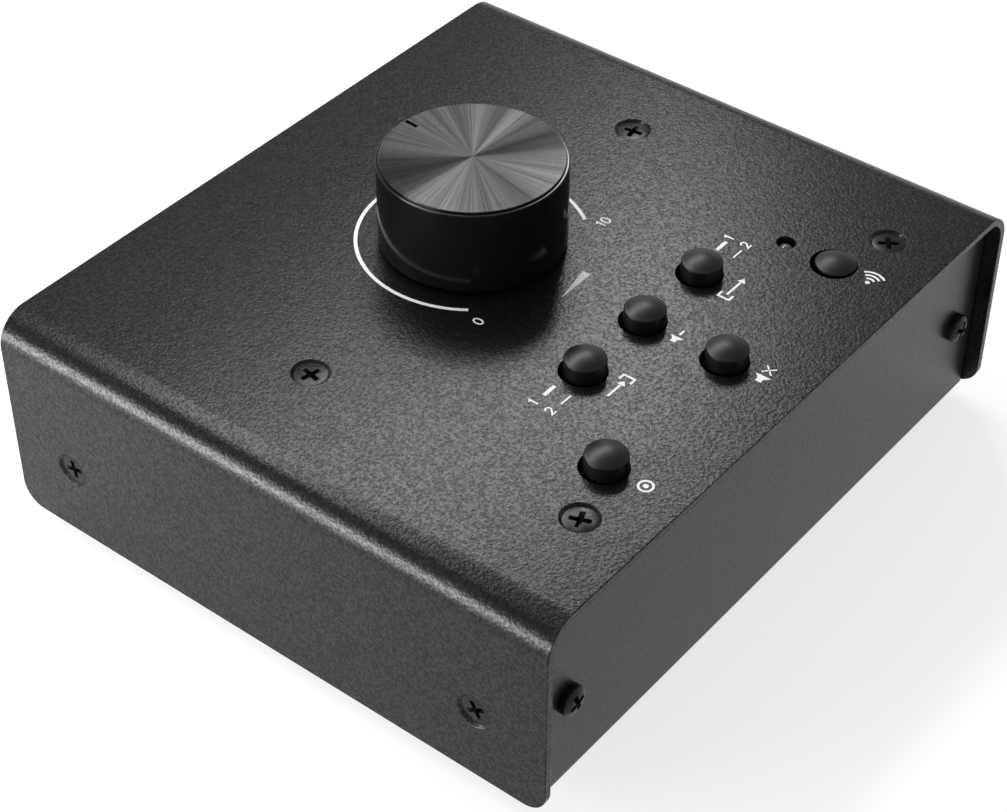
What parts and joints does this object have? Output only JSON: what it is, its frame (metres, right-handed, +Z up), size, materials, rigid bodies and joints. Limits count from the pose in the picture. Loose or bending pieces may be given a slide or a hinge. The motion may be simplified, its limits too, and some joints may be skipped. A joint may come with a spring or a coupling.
{
  "type": "studio monitor controller",
  "caption": "Desktop monitor controller: bent-sheet case with a large volume knob, domed push buttons and a status lamp on top, and a row of line sockets and a power inlet at the back.",
  "frame": {"origin": "under the middle of the case, on the surface that the feet stand on", "axes": "+X to the user's right, +Y to the back where the sockets are, +Z up"},
  "size_m": [0.138, 0.1204, 0.0638],
  "materials": {
    "cover_coat": "fine-textured black powder coat",
    "chassis_coat": "satin black powder coat",
    "plated_steel": "zinc-plated sheet steel",
    "black_screw": "black-passivated steel, glossy",
    "knob_plastic": "gloss black",
    "spun_disc": "circular-brushed, black-anodised",
    "button_plastic": "semi-gloss black",
    "switch_plastic": "plain",
    "stem_plastic": "natural",
    "bright_steel": "turned",
    "brass_hardware": "nickelled brass",
    "board_laminate": "solder-masked laminate",
    "lamp_epoxy": "clear epoxy lens",
    "socket_plastic": "moulded black",
    "nut_nickel": "nickel-plated",
    "ribbon_sleeve": "grey ribbon insulation",
    "capacitor_sleeve": "shrink sleeve",
    "chip_epoxy": "moulded epoxy",
    "foot_rubber": "matt"
  },
  "bodies": {
    "case": {"amplifier_chips": "chip_epoxy", "bushing_nut": "bright_steel", "bushing_washer": "bright_steel", "capacitors": "capacitor_sleeve", "chassis": "chassis_coat", "control_board": "board_laminate", "control_board_screws": "bright_steel", "control_board_standoffs": "brass_hardware", "cover_screws": "black_screw", "dim_switch": "switch_plastic", "front_left_bracket": "plated_steel", "front_left_foot": "foot_rubber", "front_right_bracket": "plated_steel", "front_right_foot": "foot_rubber", "input_a_left_jack": "socket_plastic", "input_a_right_jack": "socket_plastic", "input_b_jack": "socket_plastic", "jack_nuts": "nut_nickel", "lamp_spacer": "switch_plastic", "mono_switch": "switch_plastic", "mute_switch": "switch_plastic", "output_a_left_jack": "socket_plastic", "output_a_right_jack": "socket_plastic", "output_b_left_jack": "socket_plastic", "output_b_right_jack": "socket_plastic", "output_switch": "switch_plastic", "panel_screws": "black_screw", "power_socket": "socket_plastic", "rear_left_bracket": "plated_steel", "rear_left_foot": "foot_rubber", "rear_right_bracket": "plated_steel", "rear_right_foot": "foot_rubber", "relays": "chip_epoxy", "ribbon_headers": "chip_epoxy", "ribbon_lead": "ribbon_sleeve", "side_screws": "black_screw", "socket_board": "board_laminate", "socket_board_posts": "bright_steel", "socket_board_screws": "bright_steel", "source_switch": "switch_plastic", "status_lamp": "lamp_epoxy", "top_cover": "cover_coat", "volume_control": "switch_plastic", "wireless_module": "board_laminate", "wireless_switch": "switch_plastic"},
    "volume_dial": {"volume_knob": "knob_plastic", "knob_disc": "spun_disc", "volume_shaft": "bright_steel"},
    "source_key": {"source_button": "button_plastic", "source_stem": "stem_plastic"},
    "dim_key": {"dim_button": "button_plastic", "dim_stem": "stem_plastic"},
    "output_key": {"output_button": "button_plastic", "output_stem": "stem_plastic"},
    "mute_key": {"mute_button": "button_plastic", "mute_stem": "stem_plastic"},
    "mono_key": {"mono_button": "button_plastic", "mono_stem": "stem_plastic"},
    "wireless_key": {"wireless_button": "button_plastic", "wireless_stem": "stem_plastic"}
  },
  "joints": [
    {"name": "volume_turn", "type": "hinge", "parent": "case", "child": "volume_dial", "pos_m": [0.0007, 0.01055, 0.047], "axis": [0, 0, 1], "range_deg": [-131, 139]},
    {"name": "source_press", "type": "slide", "parent": "case", "child": "source_key", "axis": [0, 0, -1], "range_m": [0, 0.0022], "stiffness_N_per_m": 900, "springref_m": -0.0008},
    {"name": "dim_press", "type": "slide", "parent": "case", "child": "dim_key", "axis": [0, 0, -1], "range_m": [0, 0.0022], "stiffness_N_per_m": 900, "springref_m": -0.0008},
    {"name": "output_press", "type": "slide", "parent": "case", "child": "output_key", "axis": [0, 0, -1], "range_m": [0, 0.0022], "stiffness_N_per_m": 900, "springref_m": -0.0008},
    {"name": "mute_press", "type": "slide", "parent": "case", "child": "mute_key", "axis": [0, 0, -1], "range_m": [0, 0.0022], "stiffness_N_per_m": 900, "springref_m": -0.0008},
    {"name": "mono_press", "type": "slide", "parent": "case", "child": "mono_key", "axis": [0, 0, -1], "range_m": [0, 0.0022], "stiffness_N_per_m": 900, "springref_m": -0.0008},
    {"name": "wireless_press", "type": "slide", "parent": "case", "child": "wireless_key", "axis": [0, 0, -1], "range_m": [0, 0.0005], "stiffness_N_per_m": 2000, "springref_m": -0.0004}
  ]
}
